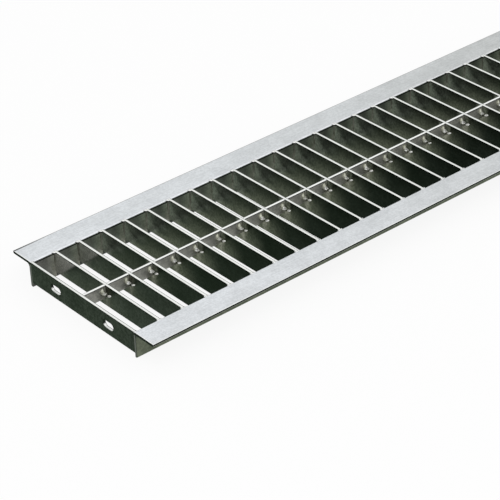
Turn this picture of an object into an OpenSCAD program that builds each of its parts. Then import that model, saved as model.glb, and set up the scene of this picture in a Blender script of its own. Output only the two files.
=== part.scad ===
// Stainless steel grating panel for a drainage channel. Two rolled angles run along the
// panel, with their flanges turned outward to rest on the rims of the channel. Flat bars
// on edge stand between the angle legs, a plate with bolt slots closes each end, and a
// row of short stays ties the cross bars together along the middle.
// X runs along the panel, Y across it, Z up. The origin is the middle of the footprint,
// level with the feet of the legs.

/* [Panel] */
// Overall length, over the outer faces of the end plates
panel_l = 993; // [300:1:1200]
// Centre distance of the cross bars, fitted to a whole number of cells
bar_pitch = 30; // [24:1:60]
// Clear width between the legs of the angles
opening_w = 172; // [120:1:400]

/* [Side angles] */
// Width of an angle from its heel to the outer edge of its flange
flange_w = 31; // [20:1:60]
// Height of an angle from its foot to the top of its flange
leg_h = 30; // [27:1:60]
// Thickness of the flange and of the leg
angle_t = 3; // [2:0.5:5]
// Radius of the hollow fillet at the root, between the flange and the leg
root_r = 4; // [1:0.5:8]
// Radius at the toe of the flange and of the leg
toe_r = 1.5; // [0.5:0.5:2]
// Radius at the heel, beside the opening
heel_r = 2; // [0.5:0.5:3]

/* [Cross bars] */
// Thickness of a cross bar
bar_t = 3; // [2:0.5:6]
// Depth of a cross bar
bar_h = 25; // [18:1:27]

/* [Centre stays] */
// Thickness of a stay
stay_t = 3; // [2:0.5:6]
// Depth of a stay
stay_h = 15; // [8:1:17]
// Drop of the stays below the tops of the cross bars
stay_drop = 0; // [0:0.1:1]
// Fitting gap at the end of a stay that its weld closes
stay_gap = 0.4; // [0:0.1:1]

/* [End plates] */
// Thickness of an end plate
plate_t = 3; // [2:0.5:6]
// Depth of an end plate
plate_h = 25; // [18:1:27]
// Width of a bolt slot
slot_w = 8.5; // [6:0.5:12]
// Overall length of a bolt slot
slot_l = 16.5; // [14:0.5:30]
// Centre distance of the two slots in a plate
slot_spacing = 88; // [40:1:100]
// Depth of the slot centres below the top of the plate
slot_drop = 13.5; // [8:0.5:17]

/* [Hidden] */
$fn = 64;
// Length by which a cutter reaches past the faces it cuts
cut_over = 1;
// Distance between the middles of the two end plates
plate_span = panel_l - plate_t;
// Number of cells along the panel
cell_count = round(plate_span / bar_pitch);
// Number of nodes that share the stays
stay_groups = 3;

function bar_x(i) = (i / cell_count - 0.5) * plate_span;
function is_end(i) = i == 0 || i == cell_count;
function half_t(i) = (is_end(i) ? plate_t : bar_t) / 2;
function stay_start(i) = bar_x(i) + half_t(i);
function stay_end(i) = bar_x(i + 1) - half_t(i + 1) - stay_gap;
function bar_name(i) = str("cross_bar_", i < 10 ? "0" : "", i);
function group_name(g) = str("centre_stays_", g);
function group_first(g) = round((g - 1) * cell_count / stay_groups);

// Section of an angle, with the inner face of its leg on the Y axis of the drawing
module angle_section() {
    difference() {
        union() {
            translate([0, leg_h - angle_t]) square([flange_w, angle_t]);
            square([angle_t, leg_h]);
            translate([angle_t, leg_h - angle_t - root_r]) root_fillet();
        }
        translate([flange_w, leg_h - angle_t]) round_cut(toe_r);
        translate([angle_t, 0]) round_cut(toe_r);
        translate([0, leg_h]) rotate(180) round_cut(heel_r);
    }
}

// Metal in the hollow corner under the flange
module root_fillet() {
    difference() {
        square(root_r);
        translate([root_r, 0]) circle(r = root_r);
    }
}

// What rounding takes off a corner that has its metal on the left and above
module round_cut(r) {
    difference() {
        translate([-r, -cut_over]) square([r + cut_over, r + cut_over]);
        translate([-r, r]) circle(r = r);
    }
}

// Angle on the positive side of Y, with its flange pointing away from the opening
module side_angle() {
    color("gainsboro")
    translate([-panel_l / 2, opening_w / 2, 0])
    rotate([90, 0, 90])
    linear_extrude(panel_l) angle_section();
}

module front_angle() {
    mirror([0, 1, 0]) side_angle();
}

module back_angle() {
    side_angle();
}

// Flat bar on edge between the legs, with its top flush with the flanges
module flat_bar(x, thickness, depth) {
    translate([x - thickness / 2, -opening_w / 2, leg_h - depth])
    cube([thickness, opening_w, depth]);
}

module cross_bar(i) {
    color("silver") flat_bar(bar_x(i), bar_t, bar_h);
}

// Opening with round ends, cut through along X, with its long axis across the panel
module bolt_slot() {
    round_y = (slot_l - slot_w) / 2;
    reach = plate_t + 2 * cut_over;
    for (side = [-1, 1])
        translate([0, side * round_y, 0])
        rotate([0, 90, 0])
        cylinder(d = slot_w, h = reach, center = true);
    cube([reach, 2 * round_y, slot_w], center = true);
}

module end_plate(i) {
    color("darkgray")
    difference() {
        flat_bar(bar_x(i), plate_t, plate_h);
        for (side = [-1, 1])
            translate([bar_x(i), side * slot_spacing / 2, leg_h - slot_drop]) bolt_slot();
    }
}

// One short flat bar from cross bar i to the fitting gap before the next
module stay(i) {
    translate([stay_start(i), -stay_t / 2, leg_h - stay_drop - stay_h])
    cube([stay_end(i) - stay_start(i), stay_t, stay_h]);
}

module centre_stays(g) {
    color("lightgray")
    for (i = [group_first(g) : group_first(g + 1) - 1]) stay(i);
}

front_angle();
back_angle();
end_plate(0);  // left_end_plate
end_plate(cell_count);  // right_end_plate
for (i = [1 : cell_count - 1])
    cross_bar(i);
for (g = [1 : stay_groups])
    centre_stays(g);
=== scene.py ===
# Looks for the stainless steel channel grating: finishes, weld beads, studio and camera.
import math
import random

import bmesh
import bpy
from mathutils import Matrix, Vector


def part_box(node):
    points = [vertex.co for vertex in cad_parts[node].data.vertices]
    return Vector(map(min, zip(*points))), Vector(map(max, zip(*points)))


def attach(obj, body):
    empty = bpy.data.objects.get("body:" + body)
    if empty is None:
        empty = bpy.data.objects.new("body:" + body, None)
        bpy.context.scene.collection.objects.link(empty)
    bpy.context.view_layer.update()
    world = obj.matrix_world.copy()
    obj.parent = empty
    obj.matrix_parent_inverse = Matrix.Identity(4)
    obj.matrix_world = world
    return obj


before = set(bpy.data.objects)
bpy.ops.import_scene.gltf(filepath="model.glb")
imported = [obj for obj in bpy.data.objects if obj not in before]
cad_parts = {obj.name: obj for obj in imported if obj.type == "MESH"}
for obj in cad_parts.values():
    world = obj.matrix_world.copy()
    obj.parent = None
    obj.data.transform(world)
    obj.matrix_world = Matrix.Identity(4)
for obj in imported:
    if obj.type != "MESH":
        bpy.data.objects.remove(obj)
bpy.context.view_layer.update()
mm = 0.001
print("frame loaded:", len(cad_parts), "nodes")

# Places read from the frame
crossNames = [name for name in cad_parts
              if name.startswith("cross_bar_") or name.endswith("_end_plate")]
crossNames.sort(key=lambda name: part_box(name)[0].x)
crossFaces = [(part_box(name)[0].x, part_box(name)[1].x) for name in crossNames]
legLow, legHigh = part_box("back_angle")
barLow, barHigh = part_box("cross_bar_01")
stayLow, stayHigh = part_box("centre_stays_1")
openingHalf = legLow.y
pitch = crossFaces[2][0] - crossFaces[1][0]
stayHalf = (stayHigh.y - stayLow.y) / 2


# Node helpers

def plug(tree, value, socket):
    if isinstance(value, bpy.types.NodeSocket):
        tree.links.new(value, socket)
    else:
        socket.default_value = value


def calc(tree, operation, *values):
    node = tree.nodes.new("ShaderNodeMath")
    node.operation = operation
    for place, value in enumerate(values):
        plug(tree, value, node.inputs[place])
    return node.outputs[0]


def ramp(tree, value, low, high, toLow=0.0, toHigh=1.0):
    node = tree.nodes.new("ShaderNodeMapRange")
    node.interpolation_type = "SMOOTHSTEP"
    settings = {"Value": value, "From Min": low, "From Max": high, "To Min": toLow, "To Max": toHigh}
    for socketName, setting in settings.items():
        plug(tree, setting, node.inputs[socketName])
    return node.outputs["Result"]


# Ramp over a reach, its start and stop measured from an origin
def rampFrom(tree, value, origin, reach, toLow=0.0, toHigh=1.0):
    return ramp(tree, value, origin + reach[0], origin + reach[1], toLow, toHigh)


def mixColour(tree, factor, first, second, blend="MIX"):
    node = tree.nodes.new("ShaderNodeMix")
    node.data_type = "RGBA"
    node.blend_type = blend
    plug(tree, factor, node.inputs[0])
    plug(tree, first, node.inputs[6])    # colour A
    plug(tree, second, node.inputs[7])   # colour B
    return node.outputs[2]


def scaled(tree, vector, scale):
    node = tree.nodes.new("ShaderNodeVectorMath")
    node.operation = "MULTIPLY"
    plug(tree, vector, node.inputs[0])
    plug(tree, scale, node.inputs[1])
    return node.outputs[0]


def noise(tree, vector, scale, detail=3.0, roughness=0.5):
    node = tree.nodes.new("ShaderNodeTexNoise")
    plug(tree, vector, node.inputs["Vector"])
    plug(tree, scale, node.inputs["Scale"])
    node.inputs["Detail"].default_value = detail
    node.inputs["Roughness"].default_value = roughness
    return node.outputs["Fac"]


def split(tree, vector):
    node = tree.nodes.new("ShaderNodeSeparateXYZ")
    plug(tree, vector, node.inputs[0])
    return node.outputs


def newGroup(name, inputs, outputs):
    tree = bpy.data.node_groups.new(name, "ShaderNodeTree")
    for socketName, socketType, setting in inputs:
        kind = "NodeSocket" + socketType
        socket = tree.interface.new_socket(socketName, in_out="INPUT", socket_type=kind)
        socket.default_value = setting
    for socketName, socketType in outputs:
        tree.interface.new_socket(socketName, in_out="OUTPUT", socket_type="NodeSocket" + socketType)
    return tree, tree.nodes.new("NodeGroupInput").outputs, tree.nodes.new("NodeGroupOutput").inputs


def useGroup(tree, group, **values):
    node = tree.nodes.new("ShaderNodeGroup")
    node.node_tree = group
    for socketName, value in values.items():
        plug(tree, value, node.inputs[socketName])
    return node.outputs


# Shared effects

# Noise of each mask, and the part of its range that becomes 0 to 1
grainPlan = {
    "Grain": {"scale": 1.0, "detail": 4.0, "roughness": 0.6, "range": (0.3, 0.7)},
    "Mottle": {"scale": 38.0, "detail": 5.0, "roughness": 0.62, "range": (0.35, 0.66)},
    "Speckle": {"scale": 420.0, "detail": 2.0, "roughness": 0.6, "range": (0.32, 0.68)},
}


# Brushed lines that follow the stretch, clouds and fine specks
def makeBrushedGrain():
    inputs = [("Vector", "Vector", (0, 0, 0)), ("Stretch", "Vector", (1, 1, 1))]
    outputs = [(mask, "Float") for mask in grainPlan]
    tree, given, result = newGroup("brushedGrain", inputs, outputs)
    stretched = scaled(tree, given["Vector"], given["Stretch"])
    for mask, plan in grainPlan.items():
        vector = stretched if mask == "Grain" else given["Vector"]
        pattern = noise(tree, vector, plan["scale"], plan["detail"], plan["roughness"])
        plug(tree, ramp(tree, pattern, *plan["range"]), result[mask])
    return tree


# Part of the normal's range over which each mask turns on
facingPlan = {"up": (0.22, 0.5), "along": (0.5, 0.8), "inward": (-0.3, -0.6)}


# Masks for the way a face points: up, along the panel, or in toward the opening. The finishes use them
# for painted light and shade, giving lit tops and shaded sides and ends of one steel
def makeFacing():
    plan = facingPlan
    inputs = [("Normal", "Vector", (0, 0, 1)), ("Vector", "Vector", (0, 0, 0))]
    outputs = [("Up", "Float"), ("Along", "Float"), ("Inward", "Float")]
    tree, given, result = newGroup("facing", inputs, outputs)
    normal = split(tree, given["Normal"])
    plug(tree, ramp(tree, normal["Z"], *plan["up"]), result["Up"])
    lengthwise = calc(tree, "ABSOLUTE", normal["X"])
    plug(tree, ramp(tree, lengthwise, *plan["along"]), result["Along"])
    side = calc(tree, "SIGN", split(tree, given["Vector"])["Y"])
    outward = calc(tree, "MULTIPLY", side, normal["Y"])
    plug(tree, ramp(tree, outward, *plan["inward"]), result["Inward"])
    return tree


lineCore = 0.35    # share of an edge line's width that has its full strength


# A soft line where a coordinate passes a place
def makeEdgeLine():
    inputs = [("Coordinate", "Float", 0.0), ("Place", "Float", 0.0), ("Width", "Float", 1 * mm)]
    tree, given, result = newGroup("edgeLine", inputs, [("Line", "Float")])
    away = calc(tree, "ABSOLUTE", calc(tree, "SUBTRACT", given["Coordinate"], given["Place"]))
    share = calc(tree, "DIVIDE", away, given["Width"])
    plug(tree, ramp(tree, share, lineCore, 1.0, 1.0, 0.0), result["Line"])
    return tree


heatPlan = {
    "ragScale": 90.0,
    "ragDetail": 3.0,
    "straw": (0.40, 0.40, 0.33, 1),
    "olive": (0.16, 0.165, 0.11, 1),
    "strawShare": 0.8,
}


# Straw and olive heat tint with a ragged outline that fades with the distance from a weld
def makeHeatTint():
    plan = heatPlan
    inputs = [("Distance", "Float", 0.0), ("Reach", "Float", 10 * mm), ("Vector", "Vector", (0, 0, 0))]
    tree, given, result = newGroup("heatTint", inputs, [("Tint", "Float"), ("Tone", "Color")])
    rag = noise(tree, given["Vector"], plan["ragScale"], plan["ragDetail"])
    ragged = calc(tree, "SUBTRACT", rag, 0.5)
    share = calc(tree, "ADD", calc(tree, "DIVIDE", given["Distance"], given["Reach"]), ragged)
    plug(tree, ramp(tree, share, 0.0, 1.0, 1.0, 0.0), result["Tint"])
    toOlive = ramp(tree, share, 0.0, plan["strawShare"])
    plug(tree, mixColour(tree, toOlive, plan["straw"], plan["olive"]), result["Tone"])
    return tree


brushedGrain = makeBrushedGrain()
facing = makeFacing()
edgeLine = makeEdgeLine()
heatTint = makeHeatTint()
print("node groups made")


def newFinish(name, look):
    material = bpy.data.materials.new(name)
    material.use_nodes = True
    tree = material.node_tree
    shader = tree.nodes["Principled BSDF"]
    shader.inputs["Roughness"].default_value = look["roughness"]
    shader.inputs["Metallic"].default_value = look["metallic"]
    shader.inputs["Specular Tint"].default_value = look["grazing"]
    place = tree.nodes.new("ShaderNodeTexCoord").outputs
    return material, tree, shader, place, split(tree, place["Object"])


def addBump(tree, shader, height, distance):
    bump = tree.nodes.new("ShaderNodeBump")
    bump.inputs["Distance"].default_value = distance
    plug(tree, height, bump.inputs["Height"])
    plug(tree, bump.outputs["Normal"], shader.inputs["Normal"])


# Tone made darker or lighter as a mask runs from 0 to 1
def shaded(tree, tone, mask, low, high):
    shade = ramp(tree, mask, 0.0, 1.0, low, high)
    grey = tree.nodes.new("ShaderNodeCombineColor")
    for channel in grey.inputs:
        plug(tree, shade, channel)
    return mixColour(tree, 1.0, tone, grey.outputs[0], "MULTIPLY")


brushing = {
    "tone": (0.94, 1.05),
    "gloss": (-0.05, 0.07),
    "depth": 0.03 * mm,
}


# Brushed lines in the gloss, the tone and the height
def addGrain(tree, shader, tone, grain, roughness):
    smoother, rougher = brushing["gloss"]
    gloss = ramp(tree, grain, 0.0, 1.0, roughness + smoother, roughness + rougher)
    plug(tree, shaded(tree, tone, grain, *brushing["tone"]), shader.inputs["Base Color"])
    plug(tree, gloss, shader.inputs["Roughness"])
    addBump(tree, shader, grain, brushing["depth"])


# Distance back from the near face of the next cross bar
def beforeBar(tree, at):
    return calc(tree, "WRAP", calc(tree, "SUBTRACT", crossFaces[0][0], at["X"]), pitch, 0.0)


# Distance forward from the inner face of the back leg
def fromBackLeg(tree, at):
    return calc(tree, "SUBTRACT", openingHalf, at["Y"])


# Ramp over cells counted from the left end
def overCells(tree, at, cells, toLow=0.0, toHigh=1.0):
    fromEnd = calc(tree, "SUBTRACT", at["X"], legLow.x)
    return ramp(tree, fromEnd, cells[0] * pitch, cells[1] * pitch, toLow, toHigh)


# Finish of the two angles

# Reaches in Z run up from the foot where they are positive, and down from the top where negative
angleLook = {
    "stretch": (14.0, 900.0, 900.0),
    "flangeNear": (0.745, 0.768, 0.797, 1),
    "flangeFar": (0.570, 0.576, 0.578, 1),
    "cloudShade": 0.93,
    "flangeSpeck": 0.055,
    # painted highlight along the near edge, then painted shade along the far edge, darkest at the left
    # corner
    "edgeHighlight": (0.95, 0.955, 0.95, 1),
    "farEdgeShade": (0.45, 0.45, 0.45, 1),
    "edgeWidth": 1.3 * mm,
    "cornerEdgeShade": (0.10, 0.10, 0.10, 1),
    "cornerReach": (0.0, 60 * mm),
    "cornerWidth": 3.0 * mm,
    "outerLeg": (0.096, 0.112, 0.080, 1),
    "outerCloud": (0.145, 0.162, 0.118, 1),
    # painted light and shade on the inner leg: lighter at the left end and beside each bar, shaded at
    # the foot, away from the bars and further along
    "innerNear": (0.36, 0.36, 0.325, 1),
    "innerFar": (0.245, 0.285, 0.225, 1),
    "innerReach": (0.0, 75 * mm),
    "innerFade": 0.75,
    "fadeReach": (200 * mm, 400 * mm),
    "footShade": 0.5,
    "footReach": (5 * mm, 15 * mm),
    "litBesideBar": 1.12,
    "shadedAwayFromBar": 0.38,
    "barReach": (-2 * mm, 17 * mm),
    "innerCloud": (1.12, 0.84),
    "innerDull": 0.65,
    "tintReach": 11 * mm,
    "tintHeight": (12 * mm, 24 * mm),
    "tintShare": 0.6,
    "tintHigh": 0.1,
    "legSpeck": 0.13,
    # painted shade line under the heel
    "heelShadeLine": {"drop": 2.6 * mm, "width": 1.2 * mm},
    "outerShadeLine": {"place": 3.0 * mm, "width": 1.1 * mm},
    # near-black painted shade: lines under the heel and along the top of the flange's upright edge,
    # and the dark parts of the sawn end
    "paintedShade": (0.008, 0.011, 0.008, 1),
    "edgeFace": (0.40, 0.405, 0.370, 1),
    "edgeFaceReach": (-1 * mm, -0.5 * mm),
    "edgeFaceShade": (-2.4 * mm, -1.5 * mm),
    "legEnd": (0.130, 0.138, 0.122, 1),
    "flangeEnd": (-4.0 * mm, -2.8 * mm),
    "metallic": 1.0,
    "roughness": 0.36,
    "grazing": (0.6, 0.66, 0.6, 1),
}


# Pale lit top, paler toward the left end, with a painted highlight along its near edge and left end,
# and a painted shade line along its far edge and right end that is darkest and widest at the left
# corner
def flangeTone(tree, look, at, grain):
    along = ramp(tree, at["X"], legLow.x, legHigh.x)
    tone = mixColour(tree, along, look["flangeNear"], look["flangeFar"])
    tone = shaded(tree, tone, grain["Mottle"], 1.0, look["cloudShade"])
    tone = shaded(tree, tone, grain["Speckle"], 1 - look["flangeSpeck"], 1 + look["flangeSpeck"])
    width = look["edgeWidth"]
    nearY = useGroup(tree, edgeLine, Coordinate=at["Y"], Place=-legHigh.y, Width=width)["Line"]
    nearX = useGroup(tree, edgeLine, Coordinate=at["X"], Place=legLow.x, Width=width)["Line"]
    farWidth = rampFrom(tree, at["X"], legLow.x, look["cornerReach"], look["cornerWidth"], width)
    farY = useGroup(tree, edgeLine, Coordinate=at["Y"], Place=legHigh.y, Width=farWidth)["Line"]
    farX = useGroup(tree, edgeLine, Coordinate=at["X"], Place=legHigh.x, Width=width)["Line"]
    tone = mixColour(tree, calc(tree, "MAXIMUM", nearY, nearX), tone, look["edgeHighlight"])
    pastCorner = rampFrom(tree, at["X"], legLow.x, look["cornerReach"])
    farTone = mixColour(tree, pastCorner, look["cornerEdgeShade"], look["farEdgeShade"])
    return mixColour(tree, calc(tree, "MAXIMUM", farY, farX), tone, farTone)


# Inner face of a leg, in painted light and shade: lighter beside each bar and at the left end, shaded
# at the foot, away from each bar and further along, with a painted shade line under the heel. The
# straw and olive tint beside each bar is weld heat tint
def innerTone(tree, look, at, place, grain):
    along = rampFrom(tree, at["X"], legLow.x, look["innerReach"])
    inner = mixColour(tree, along, look["innerNear"], look["innerFar"])
    fade = rampFrom(tree, at["X"], legLow.x, look["fadeReach"])
    inner = shaded(tree, inner, fade, 1.0, look["innerFade"])
    aboveFoot = rampFrom(tree, at["Z"], legLow.z, look["footReach"])
    inner = shaded(tree, inner, aboveFoot, look["footShade"], 1.0)
    fromBar = beforeBar(tree, at)
    away = ramp(tree, fromBar, *look["barReach"])
    inner = shaded(tree, inner, away, look["litBesideBar"], look["shadedAwayFromBar"])
    inner = shaded(tree, inner, grain["Mottle"], *look["innerCloud"])
    tint = useGroup(tree, heatTint, Distance=fromBar, Reach=look["tintReach"], Vector=place)
    low = rampFrom(tree, at["Z"], legLow.z, look["tintHeight"], look["tintShare"], look["tintHigh"])
    inner = mixColour(tree, calc(tree, "MULTIPLY", tint["Tint"], low), inner, tint["Tone"])
    line = look["heelShadeLine"]
    height = legHigh.z - line["drop"]
    underHeel = useGroup(tree, edgeLine, Coordinate=at["Z"], Place=height, Width=line["width"])
    return mixColour(tree, underHeel["Line"], inner, look["paintedShade"])


# Sides of an angle: the leg inside and outside, and the upright edge of the flange. The inner side is
# painted lighter than the outer one, as lit and shaded copies of one steel, and the upright edge is
# pale with a painted shade line along its top
def sideTone(tree, look, at, place, grain, inward):
    outer = mixColour(tree, grain["Mottle"], look["outerLeg"], look["outerCloud"])
    tone = mixColour(tree, inward, outer, innerTone(tree, look, at, place, grain))
    tone = shaded(tree, tone, grain["Speckle"], 1 - look["legSpeck"], 1 + look["legSpeck"])
    fromMiddle = calc(tree, "ABSOLUTE", at["Y"])
    outerEdge = rampFrom(tree, fromMiddle, legHigh.y, look["edgeFaceReach"])
    nearTop = rampFrom(tree, at["Z"], legHigh.z, look["edgeFaceShade"])
    edge = mixColour(tree, nearTop, look["edgeFace"], look["paintedShade"])
    return mixColour(tree, outerEdge, tone, edge)


# Sawn end of an angle, in painted shade: dark across the flange and in a line down the outer side of
# the leg
def endTone(tree, look, at):
    flange = rampFrom(tree, at["Z"], legHigh.z, look["flangeEnd"])
    fromOpening = calc(tree, "SUBTRACT", calc(tree, "ABSOLUTE", at["Y"]), openingHalf)
    line = look["outerShadeLine"]
    rim = useGroup(tree, edgeLine, Coordinate=fromOpening, Place=line["place"], Width=line["width"])
    dark = calc(tree, "MAXIMUM", flange, rim["Line"])
    return mixColour(tree, dark, look["legEnd"], look["paintedShade"])


def makeAngleFinish():
    look = angleLook
    material, tree, shader, place, at = newFinish("angleFinish", look)
    grain = useGroup(tree, brushedGrain, Vector=place["Object"], Stretch=look["stretch"])
    faces = useGroup(tree, facing, Normal=place["Normal"], Vector=place["Object"])
    side = sideTone(tree, look, at, place["Object"], grain, faces["Inward"])
    tone = mixColour(tree, faces["Along"], side, endTone(tree, look, at))
    tone = mixColour(tree, faces["Up"], tone, flangeTone(tree, look, at, grain))
    addGrain(tree, shader, tone, grain["Grain"], look["roughness"])
    dull = calc(tree, "MULTIPLY", faces["Inward"], calc(tree, "SUBTRACT", 1.0, faces["Up"]))
    plug(tree, ramp(tree, dull, 0.0, 1.0, 1.0, 1 - look["innerDull"]), shader.inputs["Metallic"])
    return material


# Finish of the cross bars: near-black sides and pale tops, shaded and lit copies of one steel in
# painted light and shade

# Each Height runs up from the bottom of the bar, the glow's middle and the patch from the foot of the
# leg. Each Cells counts cells from the left end.
barLook = {
    "stretch": (900.0, 16.0, 900.0),
    # pale lit top, with painted shade lines along its far edge and under it
    "top": (0.87, 0.88, 0.86, 1),
    "topEdgeShade": (0.02, 0.02, 0.02, 1),
    "topEdgeWidth": 0.65 * mm,
    "line": (0.001, 0.001, 0.001, 1),
    "lineWidth": 1.7 * mm,
    # near-black side tones: painted shade standing in for the dark surroundings the sides mirror,
    # lighter in the first cells and darker past them
    "first": (0.0262, 0.0318, 0.0255, 1),
    "firstCloud": (0.0400, 0.0480, 0.0388, 1),
    "dark": (0.0065, 0.0090, 0.0065, 1),
    "darkCloud": (0.0115, 0.0150, 0.0115, 1),
    "darkCells": (1.5, 3.5),
    # olive: painted light reflected onto the sides
    "olive": (0.085, 0.095, 0.068, 1),
    "farHalf": (0.0, 4 * mm),
    "stayReach": (-42 * mm, -6 * mm),
    "oliveHeight": (23 * mm, 0.0),
    "oliveHigh": 0.25,
    "oliveCells": (2.6, 4.6),
    "firstOlive": 0.25,
    "pocket": 0.8,
    "pocketReach": (20 * mm, 46 * mm),
    "pocketHeight": (3 * mm, 9 * mm),
    # dull grey: painted light thrown from the back leg and beside the stay, on a less metallic surface
    "dull": (0.36, 0.365, 0.325, 1),
    "dullFar": (0.325, 0.37, 0.30, 1),
    "dullShare": 0.75,
    "patchShare": 0.94,
    "patchSlope": 1.22,
    "patchEdge": (-3 * mm, 3 * mm),
    "patchCells": (1.2, 4.0),
    "glowReach": (3 * mm, 27 * mm),
    "glowMiddle": 15 * mm,
    "glowSlant": 0.8,
    "firstGlow": 0.65,
    "farGlowShare": 0.48,
    "farGlowReach": (9 * mm, 44 * mm),
    "farGlowHeight": (9 * mm, 17 * mm),
    "farGlowLow": 0.15,
    "farGlowCells": (1.2, 3.0),
    "fadeCells": (6, 14),
    "fadeShare": 0.75,
    "besideStay": 0.55,
    "besideReach": (4 * mm, 11 * mm),
    "besideHeight": (12 * mm, 18 * mm),
    "besideCells": (1, 4),
    "firstBeside": 0.4,
    "tintReach": 14 * mm,
    "tintOffset": 2 * mm,
    "tintHeight": (3 * mm, 19 * mm),
    "tintLow": 0.5,
    "tintCells": (0.0, 3.5),
    "firstTint": 0.25,
    "tintShare": 0.7,
    "speck": 0.26,
    "metallic": 1.0,
    "roughness": 0.34,
    "grazing": (0.62, 0.70, 0.61, 1),
}


# Share of the olive tone, painted light reflected onto the dark sides: over the far half and beside
# the stay, more of it low down and in the later cells, and less of it near the back leg above the foot
def oliveShare(tree, look, at):
    farHalf = ramp(tree, at["Y"], *look["farHalf"])
    share = calc(tree, "MAXIMUM", farHalf, ramp(tree, at["Y"], *look["stayReach"]))
    pocket = ramp(tree, fromBackLeg(tree, at), *look["pocketReach"], look["pocket"], 0.0)
    aboveFoot = rampFrom(tree, at["Z"], barLow.z, look["pocketHeight"])
    pocket = calc(tree, "MULTIPLY", pocket, aboveFoot)
    share = calc(tree, "MULTIPLY", share, calc(tree, "SUBTRACT", 1.0, pocket))
    low = rampFrom(tree, at["Z"], barLow.z, look["oliveHeight"], look["oliveHigh"], 1.0)
    share = calc(tree, "MULTIPLY", share, low)
    cells = overCells(tree, at, look["oliveCells"], look["firstOlive"], 1.0)
    return calc(tree, "MULTIPLY", share, cells)


# Painted light beside the back leg in the first cells, cut off along a slanted line
def cornerPatch(tree, look, at):
    slant = calc(tree, "MULTIPLY", calc(tree, "SUBTRACT", at["Z"], legLow.z), look["patchSlope"])
    patch = ramp(tree, calc(tree, "SUBTRACT", slant, fromBackLeg(tree, at)), *look["patchEdge"])
    patch = calc(tree, "MULTIPLY", patch, overCells(tree, at, look["patchCells"], 1.0, 0.0))
    return calc(tree, "MULTIPLY", patch, look["patchShare"])


# Painted glow of light beside the back leg, which reaches furthest at the middle height
def legGlow(tree, look, at):
    middle = legLow.z + look["glowMiddle"]
    offMiddle = calc(tree, "ABSOLUTE", calc(tree, "SUBTRACT", at["Z"], middle))
    slant = calc(tree, "MULTIPLY", offMiddle, look["glowSlant"])
    away = calc(tree, "ADD", fromBackLeg(tree, at), slant)
    glow = ramp(tree, away, *look["glowReach"], 1.0, 0.0)
    pastPatch = overCells(tree, at, look["patchCells"])
    return calc(tree, "MULTIPLY", glow, ramp(tree, pastPatch, 0.0, 1.0, look["firstGlow"], 1.0))


# Wider and weaker painted glow of light from the back leg, high on the bars past the first cells
def farGlow(tree, look, at):
    glow = ramp(tree, fromBackLeg(tree, at), *look["farGlowReach"], look["farGlowShare"], 0.0)
    high = rampFrom(tree, at["Z"], barLow.z, look["farGlowHeight"], look["farGlowLow"], 1.0)
    glow = calc(tree, "MULTIPLY", glow, high)
    glow = calc(tree, "MULTIPLY", glow, overCells(tree, at, look["farGlowCells"]))
    return calc(tree, "MULTIPLY", glow, overCells(tree, at, look["fadeCells"], 1.0, look["fadeShare"]))


# Painted light on both sides of the stay, high on the bar
def stayPatch(tree, look, at):
    fromMiddle = calc(tree, "ABSOLUTE", at["Y"])
    patch = ramp(tree, fromMiddle, *look["besideReach"], look["besideStay"], 0.0)
    patch = calc(tree, "MULTIPLY", patch, rampFrom(tree, at["Z"], barLow.z, look["besideHeight"]))
    cells = overCells(tree, at, look["besideCells"], look["firstBeside"], 1.0)
    return calc(tree, "MULTIPLY", patch, cells)


# Share of the dull grey on a bar's sides: painted light from the back leg and beside the stay, laid on
# a less metallic surface
def dullShare(tree, look, at):
    share = calc(tree, "MAXIMUM", cornerPatch(tree, look, at), legGlow(tree, look, at))
    share = calc(tree, "MAXIMUM", share, farGlow(tree, look, at))
    return calc(tree, "MAXIMUM", share, stayPatch(tree, look, at))


# Share and tone of the heat tint round the weld on the near side of the stay
def weldTint(tree, look, at, place):
    away = calc(tree, "SUBTRACT", calc(tree, "MULTIPLY", at["Y"], -1.0), stayHalf)
    away = calc(tree, "ADD", calc(tree, "ABSOLUTE", away), look["tintOffset"])
    tint = useGroup(tree, heatTint, Distance=away, Reach=look["tintReach"], Vector=place["Object"])
    share = overCells(tree, at, look["tintCells"], look["firstTint"], look["tintShare"])
    share = calc(tree, "MULTIPLY", tint["Tint"], share)
    high = rampFrom(tree, at["Z"], barLow.z, look["tintHeight"], look["tintLow"], 1.0)
    return calc(tree, "MULTIPLY", share, high), tint["Tone"]


# Painted shade line under the top, and a pale lit top with a painted shade line along its far edge
def withTop(tree, look, side, at, up):
    underTop = useGroup(tree, edgeLine, Coordinate=at["Z"], Place=barHigh.z, Width=look["lineWidth"])
    side = mixColour(tree, underTop["Line"], side, look["line"])
    fromFace = calc(tree, "SUBTRACT", at["X"], crossFaces[0][1])
    fromFace = calc(tree, "WRAP", fromFace, pitch / 2, -pitch / 2)
    far = useGroup(tree, edgeLine, Coordinate=fromFace, Place=0.0, Width=look["topEdgeWidth"])
    top = mixColour(tree, far["Line"], look["top"], look["topEdgeShade"])
    return mixColour(tree, up, side, top)


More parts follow.
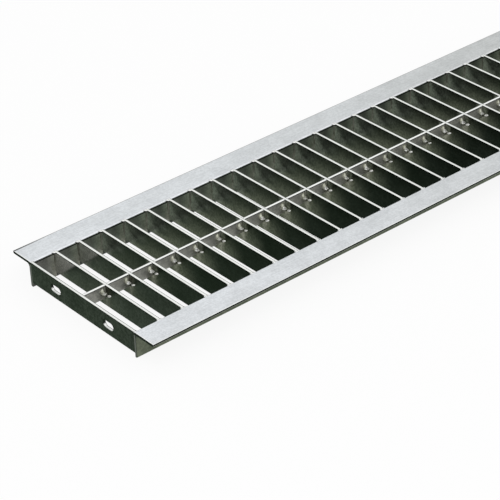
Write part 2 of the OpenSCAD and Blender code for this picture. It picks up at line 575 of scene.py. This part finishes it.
def makeBarFinish():
    look = barLook
    material, tree, shader, place, at = newFinish("barFinish", look)
    grain = useGroup(tree, brushedGrain, Vector=place["Object"], Stretch=look["stretch"])
    faces = useGroup(tree, facing, Normal=place["Normal"], Vector=place["Object"])
    # painted shade: near-black sides, lighter in the first cells
    first = mixColour(tree, grain["Mottle"], look["first"], look["firstCloud"])
    dark = mixColour(tree, grain["Mottle"], look["dark"], look["darkCloud"])
    pastFirst = overCells(tree, at, look["darkCells"])
    side = mixColour(tree, pastFirst, first, dark)
    side = mixColour(tree, oliveShare(tree, look, at), side, look["olive"])
    tint, tintTone = weldTint(tree, look, at, place)
    side = mixColour(tree, tint, side, tintTone)
    # painted light: lighter, less metallic grey from the back leg and beside the stay
    dull = dullShare(tree, look, at)
    side = mixColour(tree, dull, side, mixColour(tree, pastFirst, look["dull"], look["dullFar"]))
    side = shaded(tree, side, grain["Speckle"], 1 - look["speck"], 1 + look["speck"])
    tone = withTop(tree, look, side, at, faces["Up"])
    addGrain(tree, shader, tone, grain["Grain"], look["roughness"])
    dull = calc(tree, "MULTIPLY", dull, calc(tree, "SUBTRACT", 1.0, faces["Up"]))
    plug(tree, ramp(tree, dull, 0.0, 1.0, 1.0, 1 - look["dullShare"]), shader.inputs["Metallic"])
    return material


# Finish of the end plates, with a painted shade ring round each bolt slot

plateLook = {
    "stretch": (900.0, 16.0, 900.0),
    # pale lit top: painted light
    "top": (0.84, 0.85, 0.83, 1),
    "topEdgeShade": (0.02, 0.02, 0.02, 1),
    "topEdgeWidth": 0.75 * mm,
    "line": (0.001, 0.001, 0.001, 1),
    "lineWidth": 1.7 * mm,
    # near-black sides: painted shade, with painted shade lines under the top and round the slots
    "dark": (0.0195, 0.0235, 0.0190, 1),
    "darkCloud": (0.029, 0.035, 0.028, 1),
    "speck": 0.4,
    "slotSide": 44 * mm,
    "slotHeight": 16.5 * mm,
    "slotRadius": 4.25 * mm,
    "slotStraight": 4 * mm,
    "ringWidth": 1.1 * mm,
    "metallic": 1.0,
    "roughness": 0.36,
    "grazing": (0.62, 0.70, 0.61, 1),
}


# Painted shade ring on the plate's faces round each bolt slot
def slotShadeRing(tree, look, at):
    across = calc(tree, "SUBTRACT", calc(tree, "ABSOLUTE", at["Y"]), look["slotSide"])
    across = calc(tree, "SUBTRACT", calc(tree, "ABSOLUTE", across), look["slotStraight"])
    across = calc(tree, "POWER", calc(tree, "MAXIMUM", across, 0.0), 2.0)
    up = calc(tree, "POWER", calc(tree, "SUBTRACT", at["Z"], look["slotHeight"]), 2.0)
    away = calc(tree, "SQRT", calc(tree, "ADD", across, up))
    ring = useGroup(tree, edgeLine, Coordinate=away, Place=look["slotRadius"], Width=look["ringWidth"])
    return ring["Line"]


def makePlateFinish():
    look = plateLook
    material, tree, shader, place, at = newFinish("plateFinish", look)
    grain = useGroup(tree, brushedGrain, Vector=place["Object"], Stretch=look["stretch"])
    faces = useGroup(tree, facing, Normal=place["Normal"], Vector=place["Object"])
    side = mixColour(tree, grain["Mottle"], look["dark"], look["darkCloud"])
    side = shaded(tree, side, grain["Speckle"], 1 - look["speck"], 1 + look["speck"])
    ring = calc(tree, "MULTIPLY", slotShadeRing(tree, look, at), faces["Along"])
    side = mixColour(tree, ring, side, look["line"])
    tone = withTop(tree, look, side, at, faces["Up"])
    addGrain(tree, shader, tone, grain["Grain"], look["roughness"])
    return material


# Finish of the stays: sides painted lighter than the bars' as painted light, a pale lit top with
# painted shade lines under it and along its far edge, and heat tint beside the next bar

stayLook = {
    "stretch": (30.0, 900.0, 900.0),
    "top": (0.92, 0.93, 0.91, 1),
    "topEdgeShade": (0.02, 0.02, 0.02, 1),
    "topEdgeWidth": 0.5 * mm,
    "line": (0.05, 0.05, 0.05, 1),
    "lineWidth": 1.6 * mm,
    # sides lighter than the bars' sides: painted light from what they face
    "side": (0.31, 0.315, 0.285, 1),
    "sideCloud": (0.42, 0.42, 0.375, 1),
    "speck": 0.13,
    "tintReach": 9 * mm,
    "tintShare": 0.4,
    "metallic": 0.45,
    "roughness": 0.34,
    "grazing": (0.85, 0.90, 0.84, 1),
}


def makeStayFinish():
    look = stayLook
    material, tree, shader, place, at = newFinish("stayFinish", look)
    grain = useGroup(tree, brushedGrain, Vector=place["Object"], Stretch=look["stretch"])
    faces = useGroup(tree, facing, Normal=place["Normal"], Vector=place["Object"])
    side = mixColour(tree, grain["Mottle"], look["side"], look["sideCloud"])
    fromBar = beforeBar(tree, at)
    tint = useGroup(tree, heatTint, Distance=fromBar, Reach=look["tintReach"], Vector=place["Object"])
    side = mixColour(tree, calc(tree, "MULTIPLY", tint["Tint"], look["tintShare"]), side, tint["Tone"])
    side = shaded(tree, side, grain["Speckle"], 1 - look["speck"], 1 + look["speck"])
    underTop = useGroup(tree, edgeLine, Coordinate=at["Z"], Place=stayHigh.z, Width=look["lineWidth"])
    side = mixColour(tree, underTop["Line"], side, look["line"])
    far = useGroup(tree, edgeLine, Coordinate=at["Y"], Place=stayHigh.y, Width=look["topEdgeWidth"])
    top = mixColour(tree, far["Line"], look["top"], look["topEdgeShade"])
    tone = mixColour(tree, faces["Up"], side, top)
    addGrain(tree, shader, tone, grain["Grain"], look["roughness"])
    plug(tree, ramp(tree, faces["Up"], 0.0, 1.0, look["metallic"], 1.0), shader.inputs["Metallic"])
    return material


# Finishes of the weld metal

# Bead tone, burnt in patches, over a fine rough surface
def weldTone(tree, look, shader, place):
    rough = noise(tree, place["Object"], look["roughScale"], look["roughDetail"])
    addBump(tree, shader, rough, look["roughDepth"])
    cloud = ramp(tree, noise(tree, place["Object"], look["cloudScale"]), *look["cloudRange"])
    burnt = calc(tree, "MULTIPLY", cloud, look["burntShare"])
    return mixColour(tree, burnt, look["bead"], look["burnt"])


stayWeldLook = {
    # light bead: painted light on the crescent, with burnt patches that are weld discolouration
    "bead": (0.58, 0.59, 0.49, 1),
    "burnt": (0.34, 0.35, 0.25, 1),
    "burntShare": 0.5,
    "cloudScale": 300.0,
    "cloudRange": (0.42, 0.62),
    # near-white nugget: painted highlight of a lamp's glint
    "nugget": (1.0, 1.0, 0.97, 1),
    "nuggetReach": (4.2 * mm, 4.8 * mm),
    "nuggetMetallic": 0.5,
    "roughScale": 700.0,
    "roughDetail": 2.0,
    "roughDepth": 0.05 * mm,
    "metallic": 0.2,
    "roughness": 0.3,
    "grazing": (1, 1, 1, 1),
}


def makeStayWeldFinish():
    look = stayWeldLook
    material, tree, shader, place, at = newFinish("stayWeldFinish", look)
    bead = weldTone(tree, look, shader, place)
    # painted highlight: the nugget near white
    nugget = ramp(tree, calc(tree, "ABSOLUTE", at["Y"]), *look["nuggetReach"])
    plug(tree, mixColour(tree, nugget, bead, look["nugget"]), shader.inputs["Base Color"])
    shine = ramp(tree, nugget, 0.0, 1.0, look["metallic"], look["nuggetMetallic"])
    plug(tree, shine, shader.inputs["Metallic"])
    return material


legWeldLook = {
    "bead": (0.20, 0.205, 0.170, 1),
    "burnt": (0.10, 0.105, 0.080, 1),
    "burntShare": 1.0,
    "cloudScale": 160.0,
    "cloudRange": (0.38, 0.62),
    # pale lit top and a painted shade band just under it; the dark bead is a shaded copy of the weld
    # metal, with burnt patches that are weld discolouration
    "top": (0.86, 0.87, 0.86, 1),
    "rim": (0.010, 0.012, 0.010, 1),
    "rimHeight": (-2.8 * mm, -1.8 * mm),
    "roughScale": 500.0,
    "roughDetail": 2.0,
    "roughDepth": 0.06 * mm,
    "metallic": 0.7,
    "roughness": 0.4,
    "grazing": (1, 1, 1, 1),
}


def makeLegWeldFinish():
    look = legWeldLook
    material, tree, shader, place, at = newFinish("legWeldFinish", look)
    faces = useGroup(tree, facing, Normal=place["Normal"], Vector=place["Object"])
    tone = weldTone(tree, look, shader, place)
    # painted shade band under the ground top, then the pale lit top
    tone = mixColour(tree, rampFrom(tree, at["Z"], legHigh.z, look["rimHeight"]), tone, look["rim"])
    plug(tree, mixColour(tree, faces["Up"], tone, look["top"]), shader.inputs["Base Color"])
    return material


def dress(name, material):
    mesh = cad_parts[name].data
    mesh.materials.clear()
    mesh.materials.append(material)


angleFinish = makeAngleFinish()
barFinish = makeBarFinish()
plateFinish = makePlateFinish()
stayFinish = makeStayFinish()
stayWeldFinish = makeStayWeldFinish()
legWeldFinish = makeLegWeldFinish()
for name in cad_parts:
    if name.endswith("_angle"):
        dress(name, angleFinish)
    elif name.endswith("_end_plate"):
        dress(name, plateFinish)
    elif name.startswith("cross_bar_"):
        dress(name, barFinish)
    else:
        dress(name, stayFinish)
print("finishes on", len(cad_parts), "nodes")


# Weld beads

# Mesh with its normals outward, carried by the one body
def finishPiece(name, work, material):
    bmesh.ops.recalc_face_normals(work, faces=work.faces)
    mesh = bpy.data.meshes.new(name)
    work.to_mesh(mesh)
    work.free()
    for face in mesh.polygons:
        face.use_smooth = True
    mesh.materials.append(material)
    piece = bpy.data.objects.new(name, mesh)
    bpy.context.scene.collection.objects.link(piece)
    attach(piece, "root")


# Tube through rings given as centre and radius, the centres as offsets from a corner
def addTube(work, corner, turn, rings, sides):
    first, radius = rings[0]
    place = corner + turn @ Vector(first)
    made = bmesh.ops.create_circle(work, cap_ends=True, segments=sides, radius=radius)["verts"]
    aim = (turn @ (Vector(rings[1][0]) - Vector(first))).normalized()
    stand = Vector((0, 0, 1)).rotation_difference(aim).to_matrix()
    bmesh.ops.rotate(work, verts=made, cent=(0, 0, 0), matrix=stand)
    bmesh.ops.translate(work, verts=made, vec=place)
    face = next(iter({face for vert in made for face in vert.link_faces}))
    for centre, nextRadius in rings[1:]:
        target = corner + turn @ Vector(centre)
        face = bmesh.ops.extrude_discrete_faces(work, faces=[face])["faces"][0]
        newAim = (target - place).normalized()
        bend = aim.rotation_difference(newAim).to_matrix()
        bmesh.ops.rotate(work, verts=face.verts, cent=place, matrix=bend)
        bmesh.ops.translate(work, verts=face.verts, vec=target - place)
        size = [nextRadius / radius] * 3
        about = Matrix.Translation(-target)
        bmesh.ops.scale(work, verts=face.verts, vec=size, space=about)
        place = target
        radius = nextRadius
        aim = newAim


# Offsets run back from the bar, out from the stay, and up from the stay's top
stayWeld = {
    "start": (4.0 * mm, 0.2 * mm, -2.8 * mm),
    "middle": (7.6 * mm, 0.8 * mm, -7.8 * mm),
    "end": (0.6 * mm, 2.8 * mm, -9.4 * mm),
    "thickness": 5.0 * mm,
    "ringVary": (0.9, 1.08),
    "leastSwell": 0.05,
    "rings": 8,
    "sides": 8,
    "nugget": (0.3 * mm, 5.7 * mm, -10.6 * mm),
    "nuggetSize": (1.7 * mm, 3.5 * mm, 1.15 * mm),
    "nuggetVary": (0.88, 1.12),
    "nuggetSteps": 2,
    "nuggetTilt": 22,
    "spread": 0.5 * mm,
    "insidePlate": 2 * mm,
    "seed": 7,
}


# Tack weld: a curved bead from the stay round the corner, with a nugget at its end that the weld
# finish paints near white as a painted highlight
def addStayWeld(work, corner, turn, chance):
    plan = stayWeld
    spread = plan["spread"]
    shift = Vector([chance.uniform(-spread, spread) for axis in "xyz"])
    start, middle, end = [Vector(plan[point]) + shift for point in ("start", "middle", "end")]
    rings = []
    for ring in range(plan["rings"]):
        share = ring / (plan["rings"] - 1)
        centre = start * (1 - share) ** 2 + middle * 2 * share * (1 - share) + end * share ** 2
        swell = math.sqrt(max(plan["leastSwell"], 1 - (2 * share - 1) ** 2))
        rings.append((centre, plan["thickness"] / 2 * swell * chance.uniform(*plan["ringVary"])))
    addTube(work, corner, turn, rings, plan["sides"])
    steps = plan["nuggetSteps"]
    made = bmesh.ops.create_icosphere(work, subdivisions=steps, radius=1.0)["verts"]
    size = [half * chance.uniform(*plan["nuggetVary"]) for half in plan["nuggetSize"]]
    bmesh.ops.scale(work, verts=made, vec=size)
    tilt = Matrix.Rotation(math.radians(plan["nuggetTilt"]), 3, "X")
    bmesh.ops.rotate(work, verts=made, cent=(0, 0, 0), matrix=turn @ tilt)
    place = corner + turn @ (Vector(plan["nugget"]) + shift)
    bmesh.ops.translate(work, verts=made, vec=place)


# Fill the open start of each tube
def closeEnds(work):
    rims = [edge for edge in work.edges if edge.is_boundary]
    bmesh.ops.holes_fill(work, edges=rims)


# Cut away what would show past the outer face of an end plate, down to a depth inside it
def trimAtPlates(work, depth):
    for x, way in ((crossFaces[0][0] + depth, -1), (crossFaces[-1][1] - depth, 1)):
        everything = list(work.verts) + list(work.edges) + list(work.faces)
        cut = bmesh.ops.bisect_plane(work, geom=everything, plane_co=(x, 0, 0),
                                     plane_no=(way, 0, 0), clear_outer=True)
        edges = [part for part in cut["geom_cut"] if isinstance(part, bmesh.types.BMEdge)]
        bmesh.ops.holes_fill(work, edges=edges)


def makeStayWelds():
    plan = stayWeld
    chance = random.Random(plan["seed"])
    work = bmesh.new()
    nearTurn = Matrix(((-1, 0, 0), (0, -1, 0), (0, 0, 1)))
    farTurn = Matrix.Identity(3)
    for before, after in zip(crossFaces, crossFaces[1:]):
        addStayWeld(work, Vector((after[0], -stayHalf, stayHigh.z)), nearTurn, chance)
        addStayWeld(work, Vector((before[1], stayHalf, stayHigh.z)), farTurn, chance)
    closeEnds(work)
    trimAtPlates(work, plan["insidePlate"])
    finishPiece("stay_welds", work, stayWeldFinish)


legWeld = {
    "backTop": 3.2 * mm,
    "frontTop": 3.0 * mm,
    "width": 1.2 * mm,
    "drop": 0.15 * mm,
    "ground": 1.2 * mm,
    "groundTaper": 0.9,
    "length": 17 * mm,
    "lengthVary": (0.8, 1.1),
    "ripple": 0.12,
    "endTaper": 0.3,
    "rings": 6,
    "sides": 4,
    "insidePlate": 0.1 * mm,
    "seed": 3,
}


# Upright fillet in the corner between a cross bar and a leg, ground flush at its top
def addLegWeld(work, corner, topWidth, chance):
    plan = legWeld
    length = plan["length"] * chance.uniform(*plan["lengthVary"])
    rings = [(Vector((0, 0, 0)), topWidth)]
    rings.append((Vector((0, 0, -plan["ground"])), topWidth * plan["groundTaper"]))
    for ring in range(plan["rings"]):
        share = ring / (plan["rings"] - 1)
        last = ring == plan["rings"] - 1
        taper = plan["endTaper"] if last else chance.uniform(1 - plan["ripple"], 1 + plan["ripple"])
        down = -plan["ground"] - plan["width"] - (length - plan["ground"]) * share
        rings.append((Vector((0, 0, down)), plan["width"] * taper))
    addTube(work, corner, Matrix.Identity(3), rings, plan["sides"])


# The back welds stand at the left face of each bar, the front ones at its middle. On the first
# plate the back one is centred too, because the left face is the panel's end.
def makeLegWelds():
    plan = legWeld
    chance = random.Random(plan["seed"])
    work = bmesh.new()
    top = legHigh.z - plan["drop"]
    for place, (left, right) in enumerate(crossFaces):
        middle = (left + right) / 2
        addLegWeld(work, Vector((middle, -openingHalf, top)), plan["frontTop"], chance)
        if place == 0:
            addLegWeld(work, Vector((middle, openingHalf, top)), plan["frontTop"], chance)
        else:
            addLegWeld(work, Vector((left, openingHalf, top)), plan["backTop"], chance)
    closeEnds(work)
    trimAtPlates(work, plan["insidePlate"])
    finishPiece("leg_welds", work, legWeldFinish)


makeStayWelds()
makeLegWelds()
print("welds made")


# Studio

studio = {
    "floorSize": 8.0,
    "floorTone": (0.9, 0.9, 0.9, 1),
    "whiteShare": 0.9,
    "skyLight": 0.85,
}


# Mask of the rays that see the white itself, and not only its light
def seenDirectly(tree):
    ray = tree.nodes.new("ShaderNodeLightPath").outputs
    mirrored = calc(tree, "MAXIMUM", ray["Is Glossy Ray"], ray["Is Transmission Ray"])
    return calc(tree, "MAXIMUM", ray["Is Camera Ray"], mirrored)


def makeFloor():
    work = bmesh.new()
    bmesh.ops.create_grid(work, x_segments=1, y_segments=1, size=studio["floorSize"] / 2)
    mesh = bpy.data.meshes.new("floor")
    work.to_mesh(mesh)
    work.free()
    material = bpy.data.materials.new("floorPaper")
    material.use_nodes = True
    tree = material.node_tree
    tree.nodes.clear()
    paper = tree.nodes.new("ShaderNodeBsdfDiffuse")
    paper.inputs["Color"].default_value = studio["floorTone"]
    glow = tree.nodes.new("ShaderNodeEmission")
    blend = tree.nodes.new("ShaderNodeMixShader")
    plug(tree, calc(tree, "MULTIPLY", seenDirectly(tree), studio["whiteShare"]), blend.inputs[0])
    plug(tree, paper.outputs[0], blend.inputs[1])
    plug(tree, glow.outputs[0], blend.inputs[2])
    out = tree.nodes.new("ShaderNodeOutputMaterial")
    plug(tree, blend.outputs[0], out.inputs["Surface"])
    mesh.materials.append(material)
    floor = bpy.data.objects.new("floor", mesh)
    bpy.context.scene.collection.objects.link(floor)


def makeWorld():
    world = bpy.data.worlds.new("studioWorld")
    bpy.context.scene.world = world
    world.use_nodes = True
    tree = world.node_tree
    background = tree.nodes["Background"]
    strength = ramp(tree, seenDirectly(tree), 0.0, 1.0, studio["skyLight"], 1.0)
    plug(tree, strength, background.inputs["Strength"])
    background.inputs["Color"].default_value = (1, 1, 1, 1)


lampPlan = {
    "key": {"place": (-1.2, -0.9, 2.2), "size": 1.6, "power": 8},
    "fill": {"place": (1.6, -1.4, 1.8), "size": 2.0, "power": 5},
}


def makeLamps():
    for name, plan in lampPlan.items():
        lamp = bpy.data.lights.new(name, "AREA")
        lamp.shape = "DISK"
        lamp.size = plan["size"]
        lamp.energy = plan["power"]
        holder = bpy.data.objects.new(name, lamp)
        bpy.context.scene.collection.objects.link(holder)
        holder.location = plan["place"]
        holder.rotation_euler = (-Vector(plan["place"])).to_track_quat("-Z", "Y").to_euler()


makeFloor()
makeWorld()
makeLamps()

cameraPlan = {
    "place": (-1.455, -1.449, 1.168),
    "turn": -39.116,
    "down": 32.288,
    "roll": -2.511,
    "lens": 149.67,
    "sensor": 36.0,
    "reach": 50.0,
}


def makeCamera():
    plan = cameraPlan
    camera = bpy.data.cameras.new("camera")
    camera.lens = plan["lens"]
    camera.sensor_width = plan["sensor"]
    camera.clip_end = plan["reach"]
    holder = bpy.data.objects.new("camera", camera)
    bpy.context.scene.collection.objects.link(holder)
    turn = Matrix.Rotation(math.radians(plan["turn"]), 4, "Z")
    tilt = Matrix.Rotation(math.radians(90 - plan["down"]), 4, "X")
    roll = Matrix.Rotation(math.radians(plan["roll"]), 4, "Z")
    holder.matrix_world = Matrix.Translation(plan["place"]) @ turn @ tilt @ roll
    bpy.context.scene.camera = holder


makeCamera()
bpy.context.scene.view_settings.view_transform = "Standard"
print("studio and camera set")
